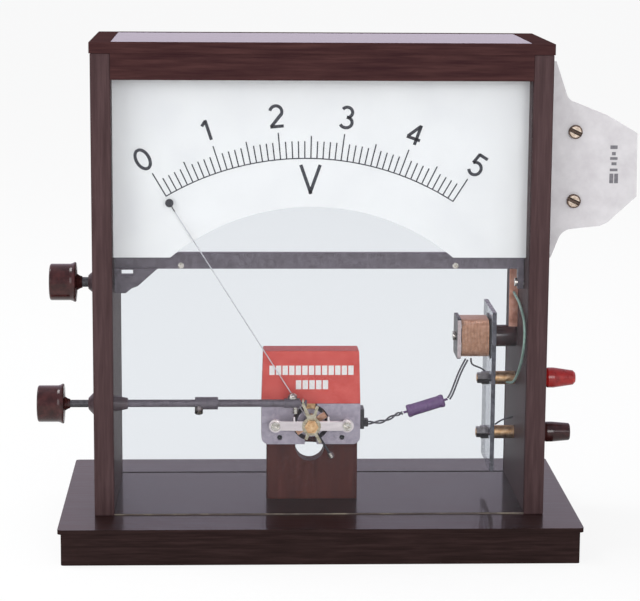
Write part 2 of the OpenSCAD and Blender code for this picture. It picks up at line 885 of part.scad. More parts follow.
// Round wire swept along a smooth route
function unit(v) = v / norm(v);
function blend(a, b, c, d, t) = 0.5 * (2 * b + (c - a) * t + (2 * a - 5 * b + 4 * c - d) * t * t
    + (3 * b - a - 3 * c + d) * t * t * t);
function route(p, k) = [for (i = [0:(len(p) - 1) * k])
    let (s = min(floor(i / k), len(p) - 2), t = i / k - s)
        blend(p[max(s - 1, 0)], p[s], p[s + 1], p[min(s + 2, len(p) - 1)], t)];
function heading(p, i) = unit(p[min(i + 1, len(p) - 1)] - p[max(i - 1, 0)]);
function side(p, i) = unit(cross(heading(p, i), [0.2, 1, 0.1]));
function twisted(p, out, turns, start) = [for (i = [0:len(p) - 1])
    let (a = start + 360 * turns * i / (len(p) - 1), s = side(p, i), u = cross(s, heading(p, i)))
        p[i] + out * (cos(a) * s + sin(a) * u)];

module wire(p, r) {
    n = 8;
    m = len(p);
    points = [for (i = [0:m - 1], j = [0:n - 1])
        let (s = side(p, i), u = cross(s, heading(p, i)))
            p[i] + r * (cos(360 * j / n) * s + sin(360 * j / n) * u)];
    walls = [for (i = [0:m - 2], j = [0:n - 1], k = [0, 1])
        let (a = i * n + j, b = i * n + (j + 1) % n)
            k == 0 ? [a, a + n, b] : [b, a + n, b + n]];
    ends = concat([[for (j = [0:n - 1]) j]], [[for (j = [n - 1:-1:0]) (m - 1) * n + j]]);
    polyhedron(points = points, faces = concat(walls, ends), convexity = 6);
}

// Twisted pairs from the movement to the resistor and on to the bobbin, the bobbin's own lead,
// and the short lead over the lower spacer
module dark_leads() {
    tag_end = [tag_x + 6.3, pole_y0 + 12, pivot_z - 3];
    res_left = res_a - (res_stub + 0.85) * res_dir;
    res_right = res_b + (res_stub + 0.85) * res_dir;
    coil_foot = [bobbin_x0 + 7, term_y - 9, bobbin_z - bobbin_w / 2 - 0.9];
    pair_a = route([tag_end, tag_end + [10, 1, 0.8], res_left - 5 * res_dir, res_left], 5);
    pair_b = route([res_right, res_right + 2.5 * res_dir + [0, 1, 3.4],
        coil_foot - [5, 4, 8.5], coil_foot], 5);
    color([0.24, 0.17, 0.15]) {
        for (start = [0, 180]) {
            wire(twisted(pair_a, wire_r + 0.25, 2, start), wire_r);
            wire(twisted(pair_b, wire_r + 0.25, 0, start), wire_r);
        }
        wire(route([coil_foot + [3.2, 3, 0], coil_foot + [4.5, 5, -4.5],
            [board_x0 - 6, term_y - 3, term_z1 + 7.4],
            [board_x0 - 3, term_y - 1, term_z1 + 5.1]], 4), wire_r);
        wire(route([[board_x1 + 2, term_y - 1, term_z0 + spacer_r + wire_r + 0.3],
            [board_x1 + 6, term_y - 2, term_z0 + spacer_r + 4],
            [in_x - 4.5, term_y - 2, term_z0 + spacer_r + 5.6],
            [in_x - wire_r - 0.3, term_y - 1, term_z0 + spacer_r + 6.2]], 4), wire_r);
    }
}

// Green lead from the copper strip down to the upper terminal
module green_lead() {
    color([0.24, 0.42, 0.3])
        wire(route([[in_x - 3, strip_y0 - green_r - 0.2, bobbin_z + green_rise],
            [in_x - green_r - 0.5, (term_y + pane_y1) / 2, bobbin_z + 0.85 * green_rise],
            [in_x - green_r - 0.4, pane_y1 + green_r + 5, bobbin_z + 0.6 * green_rise],
            [in_x - green_r - 0.4, pane_y1 + green_r + 3, bobbin_z + 0.15 * green_rise],
            [in_x - green_r - 0.6, 0.33 * term_y + 0.67 * pane_y1, bobbin_z - 0.4 * green_rise],
            [in_x - 3, 0.66 * term_y + 0.34 * pane_y1, term_z1 + 2],
            [board_x1 + 9, term_y - spacer_r - green_r - 0.2, term_z1 - 2]], 5), green_r);
}

// Copper angle on the right wall, its broad leaf towards the front
module copper_strip() {
    color([0.75, 0.45, 0.3])
        union() {
            block(in_x - strip_w, in_x, strip_y0, strip_y0 + strip_t, strip_low, bobbin_z + strip_rise);
            block(in_x - strip_t, in_x, strip_y0, term_y + 4, strip_low, bobbin_z + strip_rise);
        }
}

module pointer() {
    color([0.16, 0.15, 0.16])
        at_rest()
            union() {
                translate([0, needle_y, boss_r - 1.4])
                    cylinder(h = needle_end + tip_r - boss_r + 1.4, r = needle_r);
                bar_y_round(needle_y - 0.3, needle_y + 0.3, tip_r, 0, needle_end + tip_r);
            }
}

// Boss on the staff that carries the pointer, with the counterweight's tail
module pointer_boss() {
    color([0.3, 0.28, 0.28])
        at_rest()
            difference() {
                union() {
                    bar_y_round(boss_y0, boss_y1, boss_r, 0, 0);
                    translate([0, needle_y, -weight_at - weight_l / 2 - 1])
                        cylinder(h = weight_at + weight_l / 2 - 1.5, r = 0.85);
                }
                bar_y_round(boss_y0 - 1, boss_y1 + 1, staff_r + run, 0, 0);
                translate([0, needle_y, 1.7])
                    cylinder(h = boss_r, r = needle_r + run);
            }
}

module counterweight() {
    color([0.8, 0.6, 0.25])
        at_rest()
            difference() {
                translate([0, needle_y, -weight_at - weight_l / 2])
                    cylinder(h = weight_l, r = weight_r);
                translate([0, needle_y, -weight_at - weight_l / 2 - 1])
                    cylinder(h = weight_l + 2, r = 0.85 + run);
            }
}

module coil_former() {
    color([0.78, 0.79, 0.8])
        at_rest()
            difference() {
                block(-coil_in - former_t, coil_in + former_t, coil_y0 - former_t, coil_y1 + former_t, -2.4, 2.4);
                block(-coil_in, coil_in, coil_y0, coil_y1, -3, 3);
            }
}

module coil_winding() {
    color([0.62, 0.32, 0.18])
        at_rest()
            difference() {
                block(-coil_in - former_t - winding_t, coil_in + former_t + winding_t,
                    coil_out_y0, coil_out_y1, -2, 2);
                block(-coil_in - former_t, coil_in + former_t, coil_y0 - former_t, coil_y1 + former_t, -3, 3);
            }
}

// Steel staffs with the hairspring collets, one before and one behind the coil
module pivot_staffs() {
    color([0.7, 0.7, 0.72])
        at_rest() {
            union() {
                bar_y_round(spring_y0, coil_out_y0, staff_r, 0, 0);
                bar_y_round(spring_y0 - 0.05, spring_y1 + 0.15, collet_r, 0, 0);
                bar_y_round(coil_out_y0 - 0.5, coil_out_y0, 1.9, 0, 0);
                bar_y_round(front_tip + 0.3, spring_y0 + 0.1, 0.5, 0, 0);
            }
            union() {
                bar_y_round(coil_out_y1, rear_tip - 1, staff_r, 0, 0);
                bar_y_round(rear_spring_y0 - 0.15, rear_spring_y1 + 0.15, collet_r, 0, 0);
                bar_y_round(coil_out_y1, coil_out_y1 + 0.5, 1.9, 0, 0);
                bar_y_round(rear_tip - 1.1, rear_tip, 0.5, 0, 0);
            }
        }
}

// Leg of the zero arm from the hub towards a point, in X and Z
module arm_leg(x, z) {
    rotate([0, 0, atan2(z, x)])
        translate([3, -1])
            square([norm([x, z]) - 3, 2]);
}

// Four legged brass arm on the front jewel screw; its upper left leg is pushed by the zero rod
module zero_arm() {
    color([0.8, 0.6, 0.25])
        difference() {
            union() {
                translate([pivot_x, 0, pivot_z])
                    plate_y(arm_y0, arm_y1) {
                        circle(r = 6.3);
                        arm_leg(-5.7, rod_rise);
                        translate([-0.7, 5.5])
                            rotate([0, 0, atan2(rod_rise - 5.5, -5)])
                                translate([0, -0.7])
                                    square([norm([rod_rise - 5.5, 5]), 1.4]);
                        arm_leg(4, 13.8);
                        arm_leg(-3.7, -9);
                        arm_leg(6.2, -11.4);
                    }
                block(lug_x - 0.5, lug_x + 0.5, arm_y0, rod_y + 2.6, rod_z - 2.6, rod_z + 2.6);
                block(pivot_x - 0.7, pivot_x + 1.6, arm_y0, arm_y1, pivot_z + 4, pivot_z + 8);
                block(pivot_x - 0.7, pivot_x + 0.9, arm_y0, spring_y1, pivot_z + 6.75, pivot_z + 8);
            }
            bar_y_round(arm_y0 - 1, arm_y1 + 1, jewel_r + run, pivot_x, pivot_z);
            bar_x_round(lug_x - 1, lug_x + 1, lug_bore, rod_y, rod_z);
        }
}

// End of the zero rod that does not turn, with the necked tip that holds the arm's lug
module rod_end() {
    color([0.42, 0.4, 0.43])
        difference() {
            union() {
                bar_x_round(rod_end_x0, rod_end_x1, 3.2, rod_y, rod_z);
                bar_x_round(rod_end_x1 - 0.01, lug_x - 1.2, 2.1, rod_y, rod_z);
                bar_x_round(lug_x - 1.3, lug_x + 1.3, neck_r, rod_y, rod_z);
                bar_x_round(lug_x + 1.2, lug_x + 2.6, 2.1, rod_y, rod_z);
            }
            translate([rod_pin_x, rod_y, rod_z - 5])
                cylinder(h = 3.8, r = rod_pin_r + run);
            bar_x_round(rod_end_x0 - 1, rod_end_x0 + 5, 1.9 + run, rod_y, rod_z);
            translate([rod_dome_x, rod_y, rod_z])
                cylinder(h = 5, r = 1.2 + run);
            block(lug_x + 1.1, lug_x + 3, rod_y - 3, arm_y1 + 0.2, rod_z - 3, rod_z + 3);
        }
}

// Domed screw on top of the rod end, and the plain pin that stands out under it
module rod_end_screw() {
    color([0.85, 0.85, 0.86]) {
        translate([rod_dome_x, rod_y, rod_z])
            union() {
                translate([0, 0, 2.2])
                    cylinder(h = 1.6, r = 1.2);
                translate([0, 0, 3.3])
                    cylinder(h = 1.2, r = 3.4);
                translate([0, 0, 4.4])
                    cylinder(h = 1.3, r1 = 3.4, r2 = 2.9);
                translate([0, 0, 5.6])
                    cylinder(h = 1.1, r1 = 2.9, r2 = 1.5);
            }
        translate([rod_pin_x, rod_y, rod_z - 7.2])
            cylinder(h = 5.9, r = rod_pin_r);
    }
}

// Turned knob with a flared rim at x and a coned inner face that runs out into a neck
module knob(x, y, z, shaft) {
    translate([x, y, z])
        rotate([0, -90, 0])
            rotate_extrude()
                polygon([[shaft + run, -4.2], [shaft + 0.6, -4.2], [shaft + 1.1, -2.6], [shaft + 2.2, -0.9],
                    [knob_r + 0.7, -0.2], [knob_r + 1.1, 0.3], [knob_r + 1.1, 1], [knob_r + 0.4, 2.2],
                    [knob_r, 3.6], [knob_r, knob_l - 1.1], [knob_r - 0.3, knob_l - 0.4], [knob_r - 1.1, knob_l],
                    [0, knob_l], [0, knob_l - 3.5], [shaft + run, knob_l - 3.5]]);
}

module zero_knob() {
    color([0.27, 0.15, 0.13])
        knob(zero_knob_x, rod_y, rod_z, rod_r);
}

// Spindle from the knob to the coupling, and the rod from the coupling to the movement
module zero_rod() {
    color([0.42, 0.4, 0.43]) {
        bar_x_round(zero_knob_x - knob_l + 3.7, coupling_mid - 0.1, rod_r, rod_y, rod_z);
        union() {
            bar_x_round(coupling_mid + 0.1, rod_end_x0 - 0.3, rod_r, rod_y, rod_z);
            bar_x_round(rod_end_x0 - 0.31, rod_end_x0 + 4.5, 1.9, rod_y, rod_z);
        }
    }
}

module rod_coupling() {
    color([0.45, 0.42, 0.45])
        difference() {
            bar_x_round(coupling_mid - coupling_l / 2, coupling_mid + coupling_l / 2, 4.2, rod_y, rod_z);
            bar_x_round(coupling_mid - coupling_l, coupling_mid + coupling_l, rod_r + run, rod_y, rod_z);
            translate([coupling_mid - coupling_l / 2 + 2.6, rod_y, rod_z])
                rotate([-coupling_lean, 0, 0])
                    translate([0, 0, -6])
                        cylinder(h = 5, r = 1.2 + run);
        }
}

module coupling_screw() {
    color([0.8, 0.8, 0.82])
        translate([coupling_mid - coupling_l / 2 + 2.6, rod_y, rod_z])
            rotate([-coupling_lean, 0, 0])
                difference() {
                    union() {
                        translate([0, 0, -4.6])
                            cylinder(h = 1.9, r = 1.2);
                        translate([0, 0, -7.4])
                            cylinder(h = 3.1, r = 2.8);
                    }
                    translate([0, 0, -8])
                        cylinder(h = 2, r = 1.3);
                }
}

module clamp_knob() {
    color([0.27, 0.15, 0.13])
        knob(clamp_knob_x, clamp_y, clamp_z, spindle_r);
}

module clamp_spindle() {
    color([0.42, 0.4, 0.43])
        union() {
            bar_x_round(clamp_knob_x - knob_l + 3.7, -in_x - 0.3, spindle_r, clamp_y, clamp_z);
            bar_x_round(-in_x - 0.31, -bar_x + 11, 2.4, clamp_y, clamp_z);
        }
}

// Bar behind the dial's lower edge, with the gusset on the spindle and the lug on the pin
module clamp_bar() {
    color([0.27, 0.24, 0.26])
        difference() {
            union() {
                block(-bar_x, bar_x, bar_y0, bar_y1, bar_z0, bar_z1);
                plate_y(clamp_y - gusset_t / 2, clamp_y + gusset_t / 2)
                    polygon([[-bar_x, clamp_low], [-bar_x + 7.3, clamp_low], [-bar_x + 11.3, clamp_low + 3.3],
                        [-bar_x + 15.3, clamp_low + 4.7], [-bar_x + 28.7, bar_z0 + 0.5], [-bar_x, bar_z0 + 0.5]]);
                block(bar_x - lug_t, bar_x, bar_y0, bar_y1, lug_low, bar_z1);
            }
            bar_x_round(-bar_x - 1, -bar_x + 12, 2.4 + run, clamp_y, clamp_z);
            bar_x_round(bar_x - lug_t - 1, bar_x + 1, pin_r + run, clamp_y, clamp_z);
            block(-bar_x + 4.3, -bar_x + 12.3, clamp_y - gusset_t, clamp_y + gusset_t,
                bar_z0 - 4.4, bar_z0 - 0.4);
            for (x = bar_screw_x)
                bar_y_round(bar_y0 - 1, bar_y0 + 3.5, 1.25, pivot_x + x, bar_z0 + 2.2);
        }
}

module bar_screws() {
    color([0.9, 0.9, 0.88])
        for (x = bar_screw_x)
            slot_screw_y(pivot_x + x, bar_y0, bar_z0 + 2.2, 2, 1, 1.2, 3);
}

module dial_plate() {
    mid = (dial_z0 + dial_z1) / 2 - 3;
    color([0.93, 0.93, 0.92])
        plate_y(dial_y0, dial_y1)
            difference() {
                union() {
                    translate([dial_x0, dial_z0])
                        square([out_x + 0.5 - dial_x0, dial_z1 - dial_z0]);
                    difference() {
                        polygon([[out_x, dial_z0], [out_x + 3.5, dial_z0], [out_x + 8.6, mid - 49.1],
                            [out_x + 17, mid - 42.8], [out_x + 0.6 * tab_len, mid - 40.8],
                            [out_x + tab_len - 19, mid - 38.4], [out_x + tab_len, mid - 21],
                            [out_x + tab_len - 0.6, mid + 21.2], [out_x + tab_len - 12, mid + 27.9],
                            [out_x + 0.65 * tab_len, mid + 33], [out_x + 16.4, mid + 41.9],
                            [out_x + 11.8, mid + 46.7], [out_x + 4.4, dial_z1], [out_x, dial_z1]]);
                        translate([out_x + 19.3, mid + 49.3])
                            circle(r = 8);
                        translate([out_x + 17.9, mid - 52.8])
                            circle(r = 10);
                    }
                }
                translate([pivot_x, pivot_z])
                    circle(r = cut_r);
                for (s = [-1, 1])
                    translate([tab_screw_x, mid - 1 + s * tab_screw_gap / 2])
                        circle(r = 1.65);
            }
}

// Printed scale: base line and graduations, a tenth of a unit each
module dial_marks() {
    color([0.1, 0.1, 0.1])
        translate([pivot_x - print_left, 0, pivot_z - print_low])
            plate_y(dial_y0 - mark_t, dial_y0)
                rotate(-print_turn) {
                    intersection() {
                        difference() {
                            circle(r = print_r + 0.35);
                            circle(r = print_r - 0.35);
                        }
                        polygon([[0, 0], [-220 * sin(print_half), 220 * cos(print_half)], [0, 240],
                            [220 * sin(print_half), 220 * cos(print_half)]]);
                    }
                    for (i = [0:10 * scale_units])
                        rotate(print_half * (1 - 2 * i / (10 * scale_units)))
                            translate([-0.4, print_r - (i % 10 == 0 ? 0.3 : 0.1)])
                                square([0.8, i % 10 == 0 ? 18 : i % 5 == 0 ? 15 : 11.5]);
                }
}

// Slotted screws on the tab, each with its nut behind
module dial_screws() {
    mid = (dial_z0 + dial_z1) / 2 - 4;
    color([0.86, 0.85, 0.8])
        for (s = [-1, 1]) {
            slot_screw_y(tab_screw_x, dial_y0, mid + s * tab_screw_gap / 2, 4.6, 1.9, 1.6, dial_t + 3);
            difference() {
                plate_y(dial_y1, dial_y1 + 2.2)
                    translate([tab_screw_x, mid + s * tab_screw_gap / 2])
                        circle(r = 3.5, $fn = 6);
                bar_y_round(dial_y1 - 1, dial_y1 + 4, 1.6 + run, tab_screw_x, mid + s * tab_screw_gap / 2);
            }
        }
}

base();
left_wall();
right_wall();
top_frame();
top_panel();
front_pane();
rear_pane();
bar_pivot_pin();
wall_bushes();
pillar();
magnet();
left_pole();
right_pole();
pole_screws();
iron_core();
core_support();
front_bridge();
bridge_screws();
jewel_screws();
rear_bridge();
rear_hairspring();
tag_strip();
multiplier_board();
bobbin();
bobbin_winding();
bobbin_screw();
board_spacer();
terminal_studs();
terminal_collars();
terminal_spacers();
terminal_nuts();
swamp_resistor();
dark_leads();
green_lead();
copper_strip();
pointer();
pointer_boss();
counterweight();
coil_former();
coil_winding();
pivot_staffs();
zero_arm();
front_hairspring();
rod_end();
rod_end_screw();
zero_knob();
zero_rod();
rod_coupling();
coupling_screw();
clamp_knob();
clamp_spindle();
clamp_bar();
bar_screws();
dial_plate();
dial_marks();
dial_screws();
red_cap();
black_cap();
red_washer();
black_washer();
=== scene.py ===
"""Looks of a demonstration meter: an open moving-coil movement in a glazed mahogany case."""

import json
import math

import bmesh
import bpy
from mathutils import Matrix, Vector


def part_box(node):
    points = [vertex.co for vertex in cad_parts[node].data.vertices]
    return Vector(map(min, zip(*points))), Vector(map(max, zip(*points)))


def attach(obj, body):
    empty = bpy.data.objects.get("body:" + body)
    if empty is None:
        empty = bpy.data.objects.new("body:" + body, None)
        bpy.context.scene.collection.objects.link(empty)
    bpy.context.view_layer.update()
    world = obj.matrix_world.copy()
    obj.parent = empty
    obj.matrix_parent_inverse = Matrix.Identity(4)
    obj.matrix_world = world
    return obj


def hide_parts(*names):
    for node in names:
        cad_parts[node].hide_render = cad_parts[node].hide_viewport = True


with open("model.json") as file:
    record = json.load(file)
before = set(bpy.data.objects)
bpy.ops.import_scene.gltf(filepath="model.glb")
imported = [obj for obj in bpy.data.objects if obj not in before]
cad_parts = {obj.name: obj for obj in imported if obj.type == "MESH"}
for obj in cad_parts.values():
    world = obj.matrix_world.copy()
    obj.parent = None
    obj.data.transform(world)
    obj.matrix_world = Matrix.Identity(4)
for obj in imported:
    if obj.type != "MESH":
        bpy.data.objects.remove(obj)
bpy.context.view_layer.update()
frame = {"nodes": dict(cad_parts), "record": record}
nodes = frame["nodes"]
bodies = frame["record"]["behaviour"]["bodies"]
body_of = {node: body for body, members in bodies.items() for node in members}

# Lengths are in millimetres, unless a name or a comment says otherwise
MM = 0.001

# Camera, fitted to the edges of the case in the photograph (angles in radians)
EYE = (-59.35, -1498.81, 430.93)
EYE_YAW, EYE_PITCH, EYE_ROLL = 0.0406, 0.1789, 0.0070
FOCAL_PX, PICTURE_W_PX = 2229.2, 640
SENSOR_W = 36.0
SIGHT_M = 50


def make_camera():
    """Sets the camera where the photograph was taken from."""
    ahead = Vector((math.sin(EYE_YAW) * math.cos(EYE_PITCH),
                    math.cos(EYE_YAW) * math.cos(EYE_PITCH),
                    -math.sin(EYE_PITCH)))
    level = Vector((math.cos(EYE_YAW), -math.sin(EYE_YAW), 0))
    plumb = level.cross(ahead)
    right = math.cos(EYE_ROLL) * level + math.sin(EYE_ROLL) * plumb
    up = math.cos(EYE_ROLL) * plumb - math.sin(EYE_ROLL) * level
    lens = bpy.data.cameras.new("camera")
    lens.sensor_width = SENSOR_W
    lens.sensor_fit = "HORIZONTAL"
    lens.lens = FOCAL_PX / PICTURE_W_PX * SENSOR_W
    lens.clip_end = SIGHT_M
    camera = bpy.data.objects.new("camera", lens)
    turn = Matrix((right, up, -ahead)).transposed().to_4x4()
    camera.matrix_world = Matrix.Translation(Vector(EYE) * MM) @ turn
    bpy.context.scene.collection.objects.link(camera)
    bpy.context.scene.camera = camera


make_camera()


def linear(code):
    """An sRGB hex colour as linear red, green, blue and alpha, by the sRGB curve."""
    shares = [int(code[i:i + 2], 16) / 255 for i in (1, 3, 5)]
    return [s / 12.92 if s <= 0.04045 else ((s + 0.055) / 1.055) ** 2.4 for s in shares] + [1.0]


def put(tree, kind, settings, feeds):
    """Adds a node. Settings are its own properties; feeds give its sockets a value or another
    node's output."""
    new = tree.nodes.new(kind)
    for key, value in settings.items():
        if key == "stops":
            marks = new.color_ramp.elements
            while len(marks) < len(value):
                marks.new(1.0)
            for mark, (place, code) in zip(marks, value):
                mark.position, mark.color = place, linear(code)
        else:
            setattr(new, key, value)
    for key, value in feeds.items():
        if isinstance(value, bpy.types.Node):
            value = value.outputs[0]
        if isinstance(value, bpy.types.NodeSocket):
            tree.links.new(value, new.inputs[key])
        else:
            new.inputs[key].default_value = value
    return new


def plain_material(name):
    """A new material, its node tree and the one shader in it."""
    mat = bpy.data.materials.new(name)
    mat.use_nodes = True
    return mat, mat.node_tree, mat.node_tree.nodes["Principled BSDF"]


# The clouds that every finish is mottled by, and the parts of their range (0 to 1) over which
# the tones and the roughness run
CLOUD_DETAIL, CLOUD_ROUGHNESS = 4.0, 0.6
TONES_FROM, TONES_SPAN = 0.32, 0.36
DULL_FROM, DULL_TO = 0.3, 0.7
# The grains that its bumps follow, and how strongly they show
GRAIN_DETAIL, GRAIN_STRENGTH = 2.0, 0.6


def finish(name, tones, patch, rough, grit, depth, stretch=(1, 1, 1), even=None):
    """A procedural finish. Its tones blend over clouds of the patch's width, its roughness runs
    over a range, and grains of the grit's width stand up by the depth. Stretch draws the pattern
    out along an axis, and even gives other sockets of the shader one value each."""
    mat, tree, skin = plain_material(name)
    for key, value in (even or {}).items():
        skin.inputs[key].default_value = value
    here = put(tree, "ShaderNodeTexCoord", {}, {})
    drawn = put(tree, "ShaderNodeMapping", {},
                {"Vector": here.outputs["Object"], "Scale": [1 / s for s in stretch]})
    cloud = put(tree, "ShaderNodeTexNoise", {},
                {"Vector": drawn, "Scale": 1 / (patch * MM), "Detail": CLOUD_DETAIL,
                 "Roughness": CLOUD_ROUGHNESS})
    places = [TONES_FROM + TONES_SPAN * i / (len(tones) - 1) for i in range(len(tones))]
    colour = put(tree, "ShaderNodeValToRGB", {"stops": list(zip(places, tones))}, {"Fac": cloud})
    dull = put(tree, "ShaderNodeMapRange", {},
               {"Value": cloud, "From Min": DULL_FROM, "From Max": DULL_TO,
                "To Min": rough[0], "To Max": rough[1]})
    grains = put(tree, "ShaderNodeTexNoise", {},
                 {"Vector": drawn, "Scale": 1 / (grit * MM), "Detail": GRAIN_DETAIL})
    bumps = put(tree, "ShaderNodeBump", {},
                {"Height": grains, "Strength": GRAIN_STRENGTH, "Distance": depth * MM})
    tree.links.new(colour.outputs["Color"], skin.inputs["Base Color"])
    tree.links.new(dull.outputs["Result"], skin.inputs["Roughness"])
    tree.links.new(bumps.outputs["Normal"], skin.inputs["Normal"])
    return mat


# Share of a pane that its dust film covers, how fast and how far its mirroring grows with the
# slant of the view, and the length, height and strength of the waves in its faces
DUST_FILM = 0.013
MIRROR_POWER, MIRROR_MOST = 5.0, 0.9
WAVE_LENGTH, WAVE_HEIGHT, WAVE_STRENGTH = 60, 0.2, 0.3


def clear_sheet(name, tint, mirror, haze):
    """A clear flat sheet: its tint passes through each face, a film of dust veils it faintly, and
    the face mirrors at a slant. Only the mirroring share is metallic, so the dust stays matt."""
    mat, tree, skin = plain_material(name)
    skin.inputs["Base Color"].default_value = linear(mirror)
    skin.inputs["Roughness"].default_value = haze
    here = put(tree, "ShaderNodeTexCoord", {}, {})
    wave = put(tree, "ShaderNodeTexNoise", {},
               {"Vector": here.outputs["Object"], "Scale": 1 / (WAVE_LENGTH * MM)})
    swell = put(tree, "ShaderNodeBump", {},
                {"Height": wave, "Strength": WAVE_STRENGTH, "Distance": WAVE_HEIGHT * MM})
    tree.links.new(swell.outputs["Normal"], skin.inputs["Normal"])
    slant = put(tree, "ShaderNodeLayerWeight", {}, {"Blend": 0.5})
    steep = put(tree, "ShaderNodeMath", {"operation": "POWER"},
                {0: slant.outputs["Facing"], 1: MIRROR_POWER})
    mirrors = put(tree, "ShaderNodeMath", {"operation": "MULTIPLY"}, {0: steep, 1: MIRROR_MOST})
    share = put(tree, "ShaderNodeMath", {"operation": "ADD"}, {0: mirrors, 1: DUST_FILM})
    bare = put(tree, "ShaderNodeMath", {"operation": "DIVIDE"}, {0: mirrors, 1: share})
    tree.links.new(bare.outputs[0], skin.inputs["Metallic"])
    passing = put(tree, "ShaderNodeBsdfTransparent", {}, {"Color": linear(tint)})
    both = put(tree, "ShaderNodeMixShader", {}, {0: share, 1: passing, 2: skin})
    tree.links.new(both.outputs[0], tree.nodes["Material Output"].inputs["Surface"])
    return mat


# Mahogany, stained dark: fine streaks along the board. The base's top is French polished, with a
# clear shine over the streaks; the base's upright faces and the frame are dull, and the case's
# uprights are rubbed down. The base's upright faces are painted darker, as painted shade, and the
# case's uprights a lighter violet brown, as painted light from above and painted reflection.
STREAKS = {"patch": 2.4, "grit": 0.9, "depth": 0.012}
ALONG_BOARD, ALONG_UPRIGHT = (16, 1, 1), (1, 1, 16)
POLISH = {"Specular IOR Level": 0.1, "Coat Weight": 0.45, "Coat Roughness": 0.09}
RUBBED = {"Specular IOR Level": 0.05, "Coat Weight": 0.05, "Coat Roughness": 0.2}
DULL = {"Specular IOR Level": 0.0, "Coat Weight": 0.02, "Coat Roughness": 0.25}
polished_mahogany = finish(
    "polished mahogany, base", ["#1b0d0d", "#251413", "#301b1a"],
    rough=(0.4, 0.5), stretch=ALONG_BOARD, even=POLISH, **STREAKS)
# The plinth's tones are darker than the frame's: painted shade on the low upright faces of the
# base
shaded_plinth_mahogany = finish(
    "mahogany plinth in painted shade", ["#241a19", "#2c201f", "#352726"],
    rough=(0.5, 0.6), stretch=ALONG_BOARD, even=DULL, **STREAKS)
frame_mahogany = finish(
    "dull mahogany, frame", ["#352022", "#3f2828", "#4a302f"],
    rough=(0.5, 0.6), stretch=ALONG_BOARD, even=DULL, **STREAKS)
# The uprights' tones are lighter and more violet than the frame's: painted light from above and
# painted reflection
lit_upright_mahogany = finish(
    "upright mahogany in painted light", ["#3f2e2f", "#473536", "#503d3e"],
    rough=(0.5, 0.6), stretch=ALONG_UPRIGHT, even=RUBBED, **STREAKS)
# The pillar is the same wood rubbed with oil: redder and without the shine
oiled_mahogany = finish(
    "oiled mahogany", ["#42201c", "#50261f", "#5d2f27"],
    patch=3.0, rough=(0.5, 0.62), grit=0.8, depth=0.008, stretch=(1, 1, 14),
    even={"Specular IOR Level": 0.15})
# Drawn window glass: clear, slightly wavy, with a faint film of dust
window_glass = clear_sheet("drawn window glass", tint="#f9fafb", mirror="#f4f1f8", haze=0.03)
# The same glass in the top, dulled by dust so that it mirrors a lilac grey
dusty_glass = clear_sheet("dusty window glass", tint="#e3e2e5", mirror="#bcbac3", haze=0.06)
# Cast acrylic: clear with a grey cast and fine scratches that dull it
cast_acrylic = clear_sheet("cast acrylic", tint="#eeeff2", mirror="#d9dbe2", haze=0.08)
# Its sawn edges are painted dark grey, as painted shade: light leaves them only at a slant
shaded_acrylic_edge = finish(
    "acrylic edge in painted shade", ["#3b3a40", "#4b4a52", "#5f5e66"],
    patch=4, rough=(0.2, 0.35), grit=0.6, depth=0.01)
# The pane's ground foot, painted as a broken line: the pale tones are a painted highlight where
# light leaves the glass, and the dark tones paint the wood seen through it
pane_foot_highlight = finish(
    "pane foot in painted highlight", ["#4d423f", "#615751", "#958c7a"],
    patch=22, rough=(0.35, 0.5), grit=0.6, depth=0.01)
# Opal plastic sheet: milky white with a satin face
opal_sheet = finish(
    "opal plastic", ["#eeedeb", "#f3f2ef", "#f6f5f2"],
    patch=40, rough=(0.4, 0.5), grit=0.8, depth=0.006)
# The tab of the same sheet, greyed by hands
handled_opal = finish(
    "handled opal plastic", ["#bdb9bc", "#c6c3c5", "#cecbcd"],
    patch=14, rough=(0.36, 0.5), grit=0.8, depth=0.008)
# Sprayed enamel on a cast magnet: even red with a light orange peel
red_enamel = finish(
    "red enamel", ["#c3463e", "#cd5249", "#d55d54"],
    patch=9, rough=(0.42, 0.52), grit=1.6, depth=0.02, even={"Specular IOR Level": 0.25})
# Soft iron, ground and zinc plated: dull grey with a cloudy bloom
zinc_iron = finish(
    "zinc plated iron", ["#938b96", "#a69ea8", "#b4acb5"],
    patch=4, rough=(0.42, 0.56), grit=0.5, depth=0.012, even={"Metallic": 0.7})
# Turned brass, unlacquered: warm yellow, browned in patches
turned_brass = finish(
    "turned brass", ["#b58a5c", "#d4ab7c", "#e6c79d"],
    patch=2.2, rough=(0.38, 0.52), grit=0.4, depth=0.008, even={"Metallic": 1.0})
# Sheet brass of the zero arm, silvered by age
silvered_brass = finish(
    "silvered brass", ["#8d836c", "#b0a78f", "#cac3b1"],
    patch=1.8, rough=(0.28, 0.42), grit=0.4, depth=0.006, even={"Metallic": 0.9})
# Hairspring bronze: thin rolled strip, red gold
spring_bronze = finish(
    "rolled bronze", ["#94612f", "#b07d45"],
    patch=1.5, rough=(0.25, 0.35), grit=0.3, depth=0.004, even={"Metallic": 1.0})
# Milled aluminium, bright with fine cutter lines
milled_aluminium = finish(
    "milled aluminium", ["#d0c6c6", "#ddd3d2", "#e7dddb"],
    patch=3, rough=(0.3, 0.42), grit=0.4, depth=0.006, stretch=(6, 1, 1), even={"Metallic": 1.0})
# Enamelled copper wire: each turn a pinkish brown line with a soft gloss
enamelled_wire = finish(
    "enamelled copper wire", ["#b58468", "#cd9b7d", "#dbad92"],
    patch=2.5, rough=(0.3, 0.42), grit=0.5, depth=0.01, even={"Metallic": 0.35})
# Half-hard copper sheet, tarnished to a pinkish brown
copper_sheet = finish(
    "copper sheet", ["#c88870", "#e3a58c", "#eeb9a4"],
    patch=6, rough=(0.3, 0.46), grit=0.5, depth=0.008, even={"Metallic": 0.9})
# Nickel plate on turned screws: bright with yellowed spots
nickel_plate = finish(
    "nickel plate", ["#a39c90", "#beb8ae", "#d2cec8"],
    patch=2, rough=(0.2, 0.34), grit=0.3, depth=0.004, even={"Metallic": 1.0})
